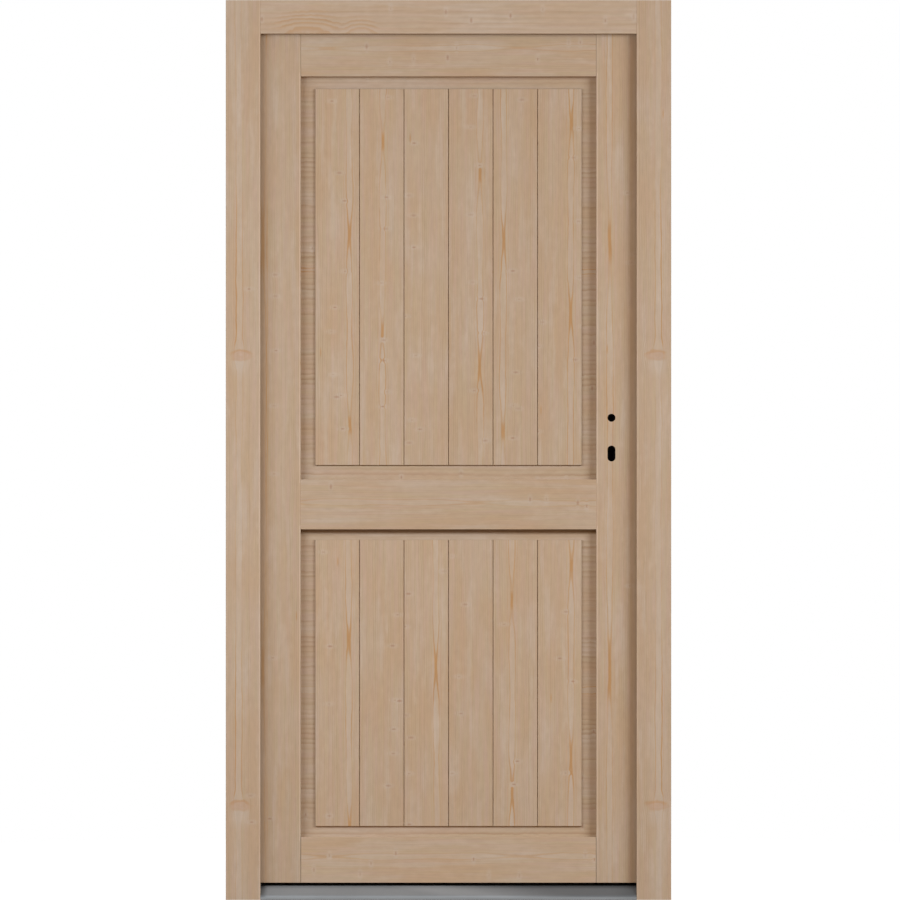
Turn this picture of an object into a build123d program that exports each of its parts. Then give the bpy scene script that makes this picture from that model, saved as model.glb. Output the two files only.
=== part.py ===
from build123d import *
import os

# Side door of solid spruce that opens inwards, with its frame and threshold.
# X runs from the hinge jamb's wall face to the lock side, Y from outside to inside, Z up from the floor.

# Overall frame
frame_width = 980.0
frame_height = 1980.0
frame_depth = 68.0
jamb_face = 76.0  # width of a jamb seen from outside
head_face = 74.0  # height of the head seen from outside
nose_thickness = 13.0  # outer leg of the frame, in front of the leaf
nose_cover = 15.0  # how far that leg stands in front of the rebate wall
arris = 0.6  # eased edge of every timber that shows

# Clearances between leaf and frame
edge_gap = 5.0  # leaf edge to rebate wall
face_gap = 5.0  # leaf lip to the frame's inner face
seal_gap = 5.0  # leaf to the tip of a frame seal
fit_gap = 0.15  # a stud or case in its hole

# Leaf
lip_thickness = 17.0
lip_cover = 12.0  # how far the lip laps over the frame
lip_drop = 19.0  # how far the lip hangs below the leaf's underside
stile_width = 98.5
top_rail_height = 103.0
middle_rail_height = 110.0
middle_rail_bottom = 815.0
bottom_rail_height = 100.0

# Panels
panel_recess = 20.0  # leaf face to the panel's border
groove_depth = 12.0
panel_float = 2.0  # room for the panel to swell at the bottom of its groove
board_count = 6
board_gap = 1.2
field_rise = 5.0  # boards over the border
field_side_margin = 31.0
upper_field_margins = (31.5, 26.5)  # border below and above the upper field
lower_field_margins = (23.5, 23.0)

# Threshold
threshold_height = 30.0
threshold_gap = 3.0  # leaf to the tip of the threshold's seal
threshold_lip = 9.0
threshold_lip_foot = 2.0  # underside of the cover's front lip over the floor
threshold_lip_round = 3.5
threshold_flat = 46.0  # level top behind the slope
threshold_wall = 3.0
base_foot = 10.0  # part of the base that shows on the inside

# Seals
seal_height = 4.0
seal_width = 8.0
kerf_width = 3.0
kerf_depth = 6.0
seal_inset = 8.0  # middle of a seal from the rebate wall
threshold_seal_inset = 8.0  # middle of the threshold's seal from its inner face
threshold_kerf_depth = 1.8

# Hinges
hinge_end_distance = 230.0  # hinge to the leaf's top and bottom edges
knuckle_radius = 8.0
knuckle_height = 45.0
knuckle_gap = 0.3
knuckle_edge_gap = 3.0  # knuckle to the edge of the lip
knuckle_chamfer = 1.5
pin_radius = 4.5
pin_height = 38.0
pin_clearance = 0.3
hinge_axis_inset = 6.0  # axis below the leaf's inner face
stud_radius = 4.0
stud_spacing = 22.0
stud_length_jamb = 35.0
stud_length_leaf = 26.0

# Lock
backset = 65.0
spindle_height = 1061.0
spindle_hole_radius = 8.75
follower_square = 8.0
cylinder_drop = 70.0  # spindle to the centre of the cylinder's round part
cylinder_radius = 8.75
cylinder_web = 10.5
cylinder_height = 34.0
cylinder_slot_height = 35.0
case_thickness = 15.0
case_depth = 79.0  # behind the faceplate
case_above = 50.0  # case over the spindle
case_below = 115.0
faceplate_width = 20.0
faceplate_thickness = 3.0
faceplate_above = 85.0
faceplate_below = 150.0
bolt_thickness = 12.0
bolt_length = 30.0
bolt_gap = 0.4
latch_height = 30.0
latch_rise = 24.0  # latch over the spindle
dead_bolt_height = 36.0
dead_bolt_drop = 40.0  # dead bolt under the spindle

# Strike plate in the lock jamb
strike_width = 20.0
strike_thickness = 3.0
strike_margin = 25.0  # plate beyond the bolt holes
strike_hole_gap = 3.0
strike_pocket = 18.0

# Planes that follow from the sizes above
frame_front = -frame_depth / 2
frame_back = frame_depth / 2
stop_face = frame_front + nose_thickness
leaf_front = stop_face + seal_height + seal_gap
lip_front = frame_back + face_gap
leaf_back = lip_front + lip_thickness
panel_front = leaf_front + panel_recess
panel_back = leaf_back - panel_recess

rebate_depth = jamb_face - nose_cover
rebate_left = rebate_depth
rebate_right = frame_width - rebate_depth
rebate_top = frame_height - head_face + nose_cover
nose_left = jamb_face
nose_right = frame_width - jamb_face
nose_top = frame_height - head_face

core_left = rebate_left + edge_gap
core_right = rebate_right - edge_gap
core_top = rebate_top - edge_gap
core_bottom = threshold_height + seal_height + threshold_gap
lip_left = rebate_left - lip_cover
lip_top = rebate_top + lip_cover
lip_bottom = core_bottom - lip_drop

panel_left = core_left + stile_width
panel_right = core_right - stile_width
bottom_rail_top = core_bottom + bottom_rail_height
middle_rail_top = middle_rail_bottom + middle_rail_height
top_rail_bottom = core_top - top_rail_height

hinge_x = lip_left - knuckle_edge_gap - knuckle_radius
hinge_y = leaf_back - hinge_axis_inset
lip_middle = (lip_front + leaf_back) / 2
hinge_levels = {
    "lower": core_bottom + hinge_end_distance,
    "middle": (core_bottom + core_top) / 2,
    "upper": core_top - hinge_end_distance,
}
stud_levels = (knuckle_height / 2 - stud_spacing / 2, knuckle_height / 2 + stud_spacing / 2)

spindle_x = core_right - backset
core_middle = (leaf_front + lip_front) / 2
plate_back = core_right - faceplate_thickness
latch_level = spindle_height + latch_rise
dead_bolt_level = spindle_height - dead_bolt_drop
cylinder_level = spindle_height - cylinder_drop
slot_level = cylinder_level + cylinder_radius - cylinder_slot_height / 2


def outline(plane, *points):
    return plane * make_face(Polyline(*points, close=True))


def along_z(points, low, high):
    return Pos(0, 0, low) * extrude(outline(Plane.XY, *points), high - low)


def along_x(points, left, right):
    return Pos(left, 0, 0) * extrude(outline(Plane.YZ, *points), right - left)


def block(left, right, front, back, low, high):
    middle = Pos((left + right) / 2, (front + back) / 2, (low + high) / 2)
    return middle * Box(right - left, back - front, high - low)


def through_y(sketch, x, z, front, back):
    # A sketch with its centre at x and z, carried from front to back
    return Pos(x, front, z) * extrude(Plane.XZ * sketch, back - front, dir=(0, 1, 0))


def through_x(sketch, left, right, y, z):
    return Pos(left, y, z) * extrude(Plane.YZ * sketch, right - left)


def mirrored(shape):
    # The same timber on the lock side
    return mirror(shape, about=Plane.YZ.offset(frame_width / 2))


# Frame timbers
def jamb():
    kerf_left = rebate_left + seal_inset - kerf_width / 2
    kerf_right = kerf_left + kerf_width
    return along_z(
        [
            (0, frame_front + arris),
            (arris, frame_front),
            (nose_left - arris, frame_front),
            (nose_left, frame_front + arris),
            (nose_left, stop_face),
            (kerf_right, stop_face),
            (kerf_right, stop_face - kerf_depth),
            (kerf_left, stop_face - kerf_depth),
            (kerf_left, stop_face),
            (rebate_left, stop_face),
            (rebate_left, frame_back - arris),
            (rebate_left - arris, frame_back),
            (arris, frame_back),
            (0, frame_back - arris),
        ],
        0,
        frame_height,
    )


def hinge_jamb():
    shape = jamb()
    hole = Circle(stud_radius + fit_gap)
    for level in hinge_levels.values():
        for rise in stud_levels:
            front = frame_back - stud_length_jamb - fit_gap
            shape -= through_y(hole, hinge_x, level - rise, front, frame_back)
    return shape


def lock_jamb():
    shape = mirrored(jamb())
    shape -= strike_outline(rebate_right, rebate_right + strike_thickness, fit_gap)
    for level, height in ((latch_level, latch_height), (dead_bolt_level, dead_bolt_height)):
        hole = Rectangle(bolt_thickness + 2 * strike_hole_gap, height + 2 * strike_hole_gap)
        shape -= through_x(hole, rebate_right, rebate_right + strike_pocket, core_middle, level)
    return shape


def frame_head():
    kerf_low = rebate_top - seal_inset - kerf_width / 2
    kerf_high = kerf_low + kerf_width
    nose = along_x(
        [
            (frame_front, frame_height - arris),
            (frame_front, nose_top + arris),
            (frame_front + arris, nose_top),
            (stop_face, nose_top),
            (stop_face, kerf_low),
            (stop_face - kerf_depth, kerf_low),
            (stop_face - kerf_depth, kerf_high),
            (stop_face, kerf_high),
            (stop_face, frame_height),
            (frame_front + arris, frame_height),
        ],
        nose_left,
        nose_right,
    )
    body = along_x(
        [
            (stop_face, rebate_top),
            (frame_back - arris, rebate_top),
            (frame_back, rebate_top + arris),
            (frame_back, frame_height - arris),
            (frame_back - arris, frame_height),
            (stop_face, frame_height),
        ],
        rebate_left,
        rebate_right,
    )
    return nose + body


# Threshold of aluminium over a plastic base, scribed round the noses of the jambs
slope_back = frame_back - threshold_flat
slope_pitch = (threshold_height - threshold_lip) / (slope_back - frame_front)


def scribed(shape):
    for left, right in ((rebate_left, nose_left), (nose_right, rebate_right)):
        shape -= block(left, right, frame_front, stop_face, 0, threshold_height)
    return shape


def base_profile():
    # Its slope lies one wall straight under the slope of the cover
    front_top = threshold_lip + (slope_pitch - 1) * threshold_wall
    return [
        (frame_front + threshold_wall, 0),
        (frame_front + threshold_wall, front_top),
        (slope_back, threshold_height - threshold_wall),
        (frame_back - threshold_wall, threshold_height - threshold_wall),
        (frame_back - threshold_wall, base_foot),
        (frame_back, base_foot),
        (frame_back, 0),
    ]


def threshold_base():
    return scribed(along_x(base_profile(), rebate_left, rebate_right))


def threshold_cover():
    shape = along_x(
        [
            (frame_front, threshold_lip_foot),
            (frame_front, threshold_lip),
            (slope_back, threshold_height),
            (frame_back, threshold_height),
            (frame_back, threshold_lip_foot),
        ],
        rebate_left,
        rebate_right,
    )
    front_edge = shape.edges().filter_by(Axis.X).filter_by_position(Axis.Y, frame_front, frame_front)
    shape = fillet(front_edge.sort_by(Axis.Z)[-1], threshold_lip_round)
    shape -= along_x(base_profile(), rebate_left, rebate_right)
    kerf_middle = frame_back - threshold_seal_inset
    shape -= block(
        rebate_left,
        rebate_right,
        kerf_middle - kerf_width / 2,
        kerf_middle + kerf_width / 2,
        threshold_height - threshold_kerf_depth,
        threshold_height,
    )
    return scribed(shape)


# Rubber seals: a tongue in the kerf and a rounded bead that the leaf closes on
def seal_section(tongue):
    half = seal_width / 2
    stem = kerf_width / 2
    bead = make_face(
        Polyline((-half, 0), (half, 0))
        + ThreePointArc((half, 0), (0, seal_height), (-half, 0))
    )
    return bead + Pos(0, -tongue / 2) * Rectangle(2 * stem, tongue)


def upright_seal(x):
    # Section turned so that its bead points inwards, standing on the threshold
    low = threshold_height
    section = Plane.XY * Pos(x, stop_face) * seal_section(kerf_depth)
    return Pos(0, 0, low) * extrude(section, rebate_top - low)


def lying_seal(left, right, place, tongue):
    return Pos(left, 0, 0) * extrude(place * seal_section(tongue), right - left)


def frame_head_seal():
    level = rebate_top - seal_inset
    turned = Plane(origin=(0, stop_face, level), x_dir=(0, 0, -1), z_dir=(1, 0, 0))
    return lying_seal(nose_left, nose_right, turned, kerf_depth)


def threshold_seal():
    middle = frame_back - threshold_seal_inset
    flat = Plane(origin=(0, middle, threshold_height), x_dir=(0, 1, 0), z_dir=(1, 0, 0))
    return lying_seal(rebate_left, rebate_right, flat, threshold_kerf_depth)


# Leaf timbers, rebated outside and grooved for the panels
def stile():
    shape = along_z(
        [
            (core_left, leaf_front + arris),
            (core_left + arris, leaf_front),
            (panel_left - arris, leaf_front),
            (panel_left, leaf_front + arris),
            (panel_left, panel_front),
            (panel_left - groove_depth, panel_front),
            (panel_left - groove_depth, panel_back),
            (panel_left, panel_back),
            (panel_left, leaf_back - arris),
            (panel_left - arris, leaf_back),
            (lip_left + arris, leaf_back),
            (lip_left, leaf_back - arris),
            (lip_left, lip_front),
            (core_left, lip_front),
        ],
        lip_bottom,
        lip_top,
    )
    for low, high in ((lip_bottom, core_bottom), (core_top, lip_top)):
        shape -= block(core_left, panel_left, leaf_front, lip_front, low, high)
    return shape


def hinge_stile():
    shape = stile()
    hole = Circle(stud_radius + fit_gap)
    for level in hinge_levels.values():
        for rise in stud_levels:
            right = lip_left + stud_length_leaf + fit_gap
            shape -= through_x(hole, lip_left, right, lip_middle, level + knuckle_gap + rise)
    return shape


def lock_stile():
    shape = mirrored(stile())
    shape -= faceplate_outline(plate_back, core_right, fit_gap)
    pocket = case_sketch(fit_gap)
    half = case_thickness / 2 + fit_gap
    shape -= through_y(pocket, 0, spindle_height, core_middle - half, core_middle + half)
    shape -= through_y(Circle(spindle_hole_radius), spindle_x, spindle_height, leaf_front, leaf_back)
    slot = SlotOverall(cylinder_slot_height, 2 * cylinder_radius, rotation=90)
    shape -= through_y(slot, spindle_x, slot_level, leaf_front, leaf_back)
    return shape


def rail(profile):
    return along_x(profile, panel_left, panel_right)


def tenons(low, high):
    # Stub tenons at both ends of a rail, in the grooves of the stiles
    left = block(panel_left - groove_depth, panel_left, panel_front, panel_back, low, high)
    return left + mirrored(left)


def edge_up(level):
    # Upper edge of a rail, grooved for the panel above it, from outside to inside
    return [
        (leaf_front, level - arris),
        (leaf_front + arris, level),
        (panel_front, level),
        (panel_front, level - groove_depth),
        (panel_back, level - groove_depth),
        (panel_back, level),
        (leaf_back - arris, level),
        (leaf_back, level - arris),
    ]


def edge_down(level):
    # Lower edge of a rail, the other way round and from inside to outside
    return [(y, 2 * level - z) for y, z in reversed(edge_up(level))]


def top_rail():
    rebate = [(leaf_front, core_top), (lip_front, core_top), (lip_front, lip_top)]
    shape = rail(rebate + [(leaf_back, lip_top)] + edge_down(top_rail_bottom))
    return shape + tenons(top_rail_bottom + groove_depth, core_top)


def middle_rail():
    shape = rail(edge_up(middle_rail_top) + edge_down(middle_rail_bottom))
    return shape + tenons(middle_rail_bottom + groove_depth, middle_rail_top - groove_depth)


def bottom_rail():
    rebate = [(leaf_back, lip_bottom), (lip_front, lip_bottom), (lip_front, core_bottom)]
    shape = rail(edge_up(bottom_rail_top) + rebate + [(leaf_front, core_bottom)])
    return shape + tenons(core_bottom, bottom_rail_top - groove_depth)


# Panels: a base board seated in the grooves, with a raised field of upright boards on both faces
def base_panel(low, high):
    seat = groove_depth - panel_float
    return block(
        panel_left - seat, panel_right + seat, panel_front, panel_back, low - seat, high + seat
    )


def field_boards(low, high, margins, face, way):
    # Boards on one face of a panel: way is -1 outside and +1 inside
    field_left = panel_left + field_side_margin
    pitch = (panel_right - field_side_margin - field_left) / board_count
    half = (pitch - board_gap) / 2
    front, back = sorted((face, face + way * field_rise))
    boards = []
    for place in range(board_count):
        middle = field_left + pitch * (place + 0.5)
        board = block(
            middle - half, middle + half, front, back, low + margins[0], high - margins[1]
        )
        shown = board.faces().sort_by(Axis((0, 0, 0), (0, way, 0)))[-1]
        boards.append(chamfer(shown.edges(), arris))
    return Compound(children=boards)


# Hinges screwed into the jamb and into the edge of the leaf's lip
def hinge_frame_part(level):
    knuckle = Pos(0, 0, -knuckle_height / 2) * Cylinder(knuckle_radius, knuckle_height)
    foot = knuckle.edges().filter_by(GeomType.CIRCLE).sort_by(Axis.Z)[0]
    shape = chamfer(foot, knuckle_chamfer)
    shape += Pos(0, 0, pin_height / 2) * Cylinder(pin_radius, pin_height)
    reach = frame_back - stud_length_jamb - hinge_y
    for rise in stud_levels:
        shape += through_y(Circle(stud_radius), 0, -rise, reach, 0)
    return Pos(hinge_x, hinge_y, level) * shape


def hinge_leaf_part(level):
    knuckle = Pos(0, 0, knuckle_height / 2) * Cylinder(knuckle_radius, knuckle_height)
    crown = knuckle.edges().filter_by(GeomType.CIRCLE).sort_by(Axis.Z)[-1]
    shape = chamfer(crown, knuckle_chamfer)
    reach = lip_left + stud_length_leaf - hinge_x
    for rise in stud_levels:
        shape += through_x(Circle(stud_radius), 0, reach, lip_middle - hinge_y, rise)
    bore = pin_height + pin_clearance
    shape -= Pos(0, 0, bore / 2) * Cylinder(pin_radius + pin_clearance, bore)
    return Pos(hinge_x, hinge_y, level + knuckle_gap) * shape


# Mortise lock with both bolts drawn back flush with its faceplate
def case_sketch(spare):
    # Outline of the lock case round the level of the spindle, with spare room for its pocket
    depth = case_depth + spare
    height = case_above + case_below + 2 * spare
    middle = (case_above - case_below) / 2
    return Pos(plate_back - depth / 2, middle) * Rectangle(depth, height)


def bolt_sketch(height, spare):
    return Rectangle(bolt_thickness + 2 * spare, height + 2 * spare)


def bolt(level, height, spare=0.0):
    return through_x(
        bolt_sketch(height, spare), core_right - bolt_length - spare, core_right, core_middle, level
    )


def faceplate_outline(left, right, spare):
    height = faceplate_above + faceplate_below + 2 * spare
    middle = spindle_height + (faceplate_above - faceplate_below) / 2
    sketch = SlotOverall(height, faceplate_width + 2 * spare, rotation=90)
    return through_x(sketch, left, right, core_middle, middle)


def strike_outline(left, right, spare):
    top = latch_level + latch_height / 2 + strike_margin
    bottom = dead_bolt_level - dead_bolt_height / 2 - strike_margin
    sketch = SlotOverall(top - bottom + 2 * spare, strike_width + 2 * spare, rotation=90)
    return through_x(sketch, left, right, core_middle, (top + bottom) / 2)


def lock_case():
    front = core_middle - case_thickness / 2
    back = core_middle + case_thickness / 2
    shape = through_y(case_sketch(0), 0, spindle_height, front, back)
    square = Rectangle(follower_square, follower_square)
    shape -= through_y(square, spindle_x, spindle_height, front, back)
    shape -= through_y(Circle(cylinder_radius), spindle_x, cylinder_level, front, back)
    web = cylinder_height - cylinder_radius
    keyway = Pos(0, -web / 2) * SlotOverall(web, cylinder_web, rotation=90)
    shape -= through_y(keyway, spindle_x, cylinder_level, front, back)
    return shape - bolt(latch_level, latch_height, bolt_gap) - bolt(
        dead_bolt_level, dead_bolt_height, bolt_gap
    )


def lock_faceplate():
    shape = faceplate_outline(plate_back, core_right, 0)
    return shape - bolt(latch_level, latch_height, bolt_gap) - bolt(
        dead_bolt_level, dead_bolt_height, bolt_gap
    )


def strike_plate():
    right = rebate_right + strike_thickness
    shape = strike_outline(rebate_right, right, 0)
    for level, height in ((latch_level, latch_height), (dead_bolt_level, dead_bolt_height)):
        hole = Rectangle(bolt_thickness + 2 * strike_hole_gap, height + 2 * strike_hole_gap)
        shape -= through_x(hole, rebate_right, right, core_middle, level)
    return shape


upper_field = (middle_rail_top, top_rail_bottom)
lower_field = (bottom_rail_top, middle_rail_bottom)

nodes = {
    "hinge_jamb": hinge_jamb(),
    "lock_jamb": lock_jamb(),
    "frame_head": frame_head(),
    "threshold_base": threshold_base(),
    "threshold_cover": threshold_cover(),
    "threshold_seal": threshold_seal(),
    "hinge_jamb_seal": upright_seal(rebate_left + seal_inset),
    "lock_jamb_seal": upright_seal(rebate_right - seal_inset),
    "frame_head_seal": frame_head_seal(),
    "strike_plate": strike_plate(),
    "hinge_stile": hinge_stile(),
    "lock_stile": lock_stile(),
    "top_rail": top_rail(),
    "middle_rail": middle_rail(),
    "bottom_rail": bottom_rail(),
    "upper_panel": base_panel(*upper_field),
    "lower_panel": base_panel(*lower_field),
    "upper_boards_outside": field_boards(*upper_field, upper_field_margins, panel_front, -1),
    "upper_boards_inside": field_boards(*upper_field, upper_field_margins, panel_back, 1),
    "lower_boards_outside": field_boards(*lower_field, lower_field_margins, panel_front, -1),
    "lower_boards_inside": field_boards(*lower_field, lower_field_margins, panel_back, 1),
    "lock_case": lock_case(),
    "lock_faceplate": lock_faceplate(),
    "latch": bolt(latch_level, latch_height),
    "dead_bolt": bolt(dead_bolt_level, dead_bolt_height),
}
for place, level in hinge_levels.items():
    nodes[f"{place}_hinge_frame_part"] = hinge_frame_part(level)
    nodes[f"{place}_hinge_leaf_part"] = hinge_leaf_part(level)

os.makedirs("parts", exist_ok=True)
for name, shape in nodes.items():
    export_step(shape, f"parts/{name}.step")
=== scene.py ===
import math
import random
from types import SimpleNamespace

import bpy
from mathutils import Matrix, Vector


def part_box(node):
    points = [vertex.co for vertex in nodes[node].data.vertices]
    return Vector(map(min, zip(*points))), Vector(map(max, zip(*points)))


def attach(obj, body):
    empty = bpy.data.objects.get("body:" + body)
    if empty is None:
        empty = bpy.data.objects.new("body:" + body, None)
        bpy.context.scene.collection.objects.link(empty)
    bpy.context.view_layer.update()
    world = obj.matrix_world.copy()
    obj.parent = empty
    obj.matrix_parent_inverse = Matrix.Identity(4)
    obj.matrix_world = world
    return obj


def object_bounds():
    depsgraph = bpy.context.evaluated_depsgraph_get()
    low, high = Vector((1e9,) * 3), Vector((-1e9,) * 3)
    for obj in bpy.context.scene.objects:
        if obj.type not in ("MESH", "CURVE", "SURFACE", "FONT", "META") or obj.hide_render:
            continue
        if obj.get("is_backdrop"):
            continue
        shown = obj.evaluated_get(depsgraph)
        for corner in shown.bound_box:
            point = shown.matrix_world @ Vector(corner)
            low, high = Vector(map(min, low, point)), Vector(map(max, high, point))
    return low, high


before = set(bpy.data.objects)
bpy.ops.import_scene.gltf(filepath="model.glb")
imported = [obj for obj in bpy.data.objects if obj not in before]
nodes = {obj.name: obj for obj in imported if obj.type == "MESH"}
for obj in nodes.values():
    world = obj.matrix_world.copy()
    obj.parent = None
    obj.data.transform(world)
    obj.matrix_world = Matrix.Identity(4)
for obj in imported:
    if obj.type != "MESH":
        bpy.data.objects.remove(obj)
cadLow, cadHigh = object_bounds()
print("frame loaded:", len(nodes), "nodes")


def srgb(red, green, blue):  # colour as seen on screen, 0 to 255, to linear
    def straight(v):
        v = v / 255
        return v / 12.92 if v <= 0.04045 else ((v + 0.055) / 1.055) ** 2.4
    return (straight(red), straight(green), straight(blue))


def span(low, high):  # middle and half length
    return ((low + high) / 2, (high - low) / 2)


# shader maths: a wire is a socket that takes part in Python expressions
class Wire:
    def __init__(self, paint, socket):
        self.paint = paint
        self.socket = socket

    def __add__(self, other):
        return self.paint.math("ADD", self, other)

    __radd__ = __add__

    def __sub__(self, other):
        return self.paint.math("SUBTRACT", self, other)

    def __rsub__(self, other):
        return self.paint.math("SUBTRACT", other, self)

    def __mul__(self, other):
        return self.paint.math("MULTIPLY", self, other)

    __rmul__ = __mul__

    def __truediv__(self, other):
        return self.paint.math("DIVIDE", self, other)

    def __rtruediv__(self, other):
        return self.paint.math("DIVIDE", other, self)

    def __gt__(self, other):
        return self.paint.math("GREATER_THAN", self, other)


class Paint:
    def __init__(self, name, tree=None):
        if tree is None:
            self.material = bpy.data.materials.new(name)
            self.material.use_nodes = True
            tree = self.material.node_tree
        self.tree = tree
        tree.nodes.clear()

    def add(self, kind, settings=None, values=None, out=0):
        node = self.tree.nodes.new(kind)
        for key, value in (settings or {}).items():
            setattr(node, key, value)
        for key, value in (values or {}).items():
            socket = node.inputs[key]
            if isinstance(value, Wire):
                self.tree.links.new(value.socket, socket)
            elif isinstance(value, tuple) and socket.type == "RGBA":
                socket.default_value = (*value, 1)
            else:
                socket.default_value = value
        return Wire(self, node.outputs[out]) if len(node.outputs) else None

    def math(self, operation, *values):
        return self.add("ShaderNodeMath", {"operation": operation}, dict(enumerate(values)))

    def fract(self, value):
        return self.math("FRACT", value)

    def floor(self, value):
        return self.math("FLOOR", value)

    def root(self, value):
        return self.math("SQRT", value)

    def least(self, first, second):
        return self.math("MINIMUM", first, second)

    def most(self, first, second):
        return self.math("MAXIMUM", first, second)

    def gap(self, value, middle):  # distance of a value from a middle
        return self.math("ABSOLUTE", value - middle)

    def rise(self, value, low, high):  # smooth step from 0 at low to 1 at high
        settings = {"interpolation_type": "SMOOTHSTEP"}
        return self.add("ShaderNodeMapRange", settings, {0: value, 1: low, 2: high})

    def fall(self, value, low, high):  # smooth step from 1 at low to 0 at high
        return 1 - self.rise(value, low, high)

    def band(self, value, middle, inner, outer):  # 1 near a middle, 0 past the outer distance
        return self.fall(self.gap(value, middle), inner, outer)

    def vector(self, x, y, z):
        return self.add("ShaderNodeCombineXYZ", {}, {0: x, 1: y, 2: z})

    def split(self, vector):
        wire = self.add("ShaderNodeSeparateXYZ", {}, {0: vector})
        return [Wire(self, s) for s in wire.socket.node.outputs]

    def noise(self, vector, scale, detail=2.0):
        values = {"Vector": vector, "Scale": scale, "Detail": detail}
        return self.add("ShaderNodeTexNoise", {}, values)

    def sway(self, vector, scale, detail=2.0):  # noise about zero
        return self.noise(vector, scale, detail) - 0.5

    def cells(self, vector, scale):  # distance to the nearest cell, and its three random numbers
        settings = {"voronoi_dimensions": "2D"}
        wire = self.add("ShaderNodeTexVoronoi", settings, {"Vector": vector, "Scale": scale})
        return wire, self.split(Wire(self, wire.socket.node.outputs["Color"]))

    def chance(self, value):  # three random numbers for a whole number
        settings = {"noise_dimensions": "1D"}
        return self.split(self.add("ShaderNodeTexWhiteNoise", settings, {"W": value}, "Color"))

    def pick(self, number, values):  # one value of a list, by its whole number
        shares = [self.math("COMPARE", number, place, 0.5) for place in range(len(values))]
        return sum(share * value for share, value in zip(shares, values))

    def mix(self, share, first, second, blend="MIX"):
        settings = {"data_type": "RGBA", "blend_type": blend}
        return self.add("ShaderNodeMix", settings, {0: share, 6: first, 7: second}, 2)

    def shaded(self, colour, level):  # a colour made lighter or darker
        return self.mix(1.0, colour, self.vector(level, level, level), "MULTIPLY")

    def bump(self, height, strength, distance):
        values = {"Strength": strength, "Distance": distance, "Height": height}
        return self.add("ShaderNodeBump", {}, values)

    def place(self):  # the piece's own place, in metres
        return self.split(self.add("ShaderNodeTexCoord", {}, {}, "Object"))

    def surface(self, values):
        shader = self.add("ShaderNodeBsdfPrincipled", {}, values)
        self.add("ShaderNodeOutputMaterial", {}, {"Surface": shader})
        return self.material


# planed spruce: bands of colour along the grain, growth rings, resin lines round the pith and knots
spruceColours = {
    "tan": srgb(184, 158, 131),
    "pink": srgb(188, 159, 139),
    "straw": srgb(184, 162, 131),
    "grey": srgb(190, 170, 150),
    "honey": srgb(184, 152, 119),
    "late": srgb(164, 131, 101),
    "amber": srgb(178, 134, 86),
    "knot": srgb(158, 117, 92),
}
plainTimber = {  # what the entry of a timber may change
    "boards": None,  # given where the node is a field of boards
    "inward": 1,  # -1 where the shown face looks to the inside
    "heart": None,  # place of the pith across the face, by chance if not given
    "neck": None,  # place along the grain where the pith dips and the two lines of a ring meet
    "every": 0.42,  # how often it dips
    "sink": 0.18,  # how far behind the face the pith lies, in radii of the resin ring
    "swing": 0.8,  # how much of that comes and goes
    "drift": 0.012,  # how far the pith strays to the sides
    "wild": 1.0,  # strength of the waves in the growth rings
    "curl": 1.0,  # how close together their wobbles are
    "rings": 0.0047,  # width of a growth ring
    "depth": 1.0,  # strength of the late wood in it
    "broad": 1.0,  # fineness of the bands of colour
    "bold": 1.0,  # width of the resin lines
    "streak": 1.0,  # strength of the resin lines
    "lean": 0,  # side of the pith, 1 or -1, on which the line is weaker
    "pins": 0.66,  # share of places without a pin knot
    "blanch": 0.0,  # share of pale grey all over
    "tone": 1.0,  # lightness; lower pieces are painted lighter to make up for the lamps' fall-off towards the bottom
    "knots": (),  # knots that show plainly
    "edge": None,  # place of the eased edge
    "gleam": 0.26,  # strength of the painted highlight on that edge
    "free": (),  # spans of height in which it stands free
    "lift": 0.0,  # how much lighter the painted tint makes the strip in the frame's shadow
    "vein": None,  # distance of a long resin line from the eased edge
    "rim": None,  # spans of a raised field, in width and height, beside which shade is painted
    "under": None,  # height of the rail under which shade is painted
    "seam": 0.0,  # darkness of the joints at a rail's ends
    "seams": None,  # span between these joints
    "bores": (),  # heights of the bored holes, from and to
}
amberRing = 0.0072  # radius of the growth ring that holds most resin

logLook = {"runSpread": 7.0, "sideSpread": 3.0, "heartSpread": 0.05, "neckSpread": 3.0}


def cutFromLog(paint, wood):  # each timber or board is from another place of the log
    wood.x, wood.y, wood.z = paint.place()
    wood.along, wood.across = (wood.z, wood.x) if wood.grain == "upright" else (wood.x, wood.z)
    if wood.boards:
        left, pitch = wood.boards["left"], wood.boards["pitch"]
        number = paint.floor((wood.x - left) / pitch)
        one, two, three = paint.chance(number + wood.seed)
        wood.face = wood.across - (number + 0.5) * pitch - left
        if "hearts" in wood.boards:
            wood.heart = paint.pick(number, wood.boards["hearts"])
            wood.neck = paint.pick(number, wood.boards["necks"])
    else:
        draw = random.Random(wood.seed)
        one, two, three = draw.random(), draw.random(), draw.random()
        wood.face = wood.across - wood.middle
    if wood.heart is None:
        wood.heart = (two - 0.5) * logLook["heartSpread"]
    if wood.neck is None:
        wood.neck = one * logLook["neckSpread"]
    wood.run = wood.along + one * logLook["runSpread"]
    wood.side = wood.face + two * logLook["sideSpread"]
    wood.deep = (wood.y - wood.front) * wood.inward
    wood.luck = three


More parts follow.
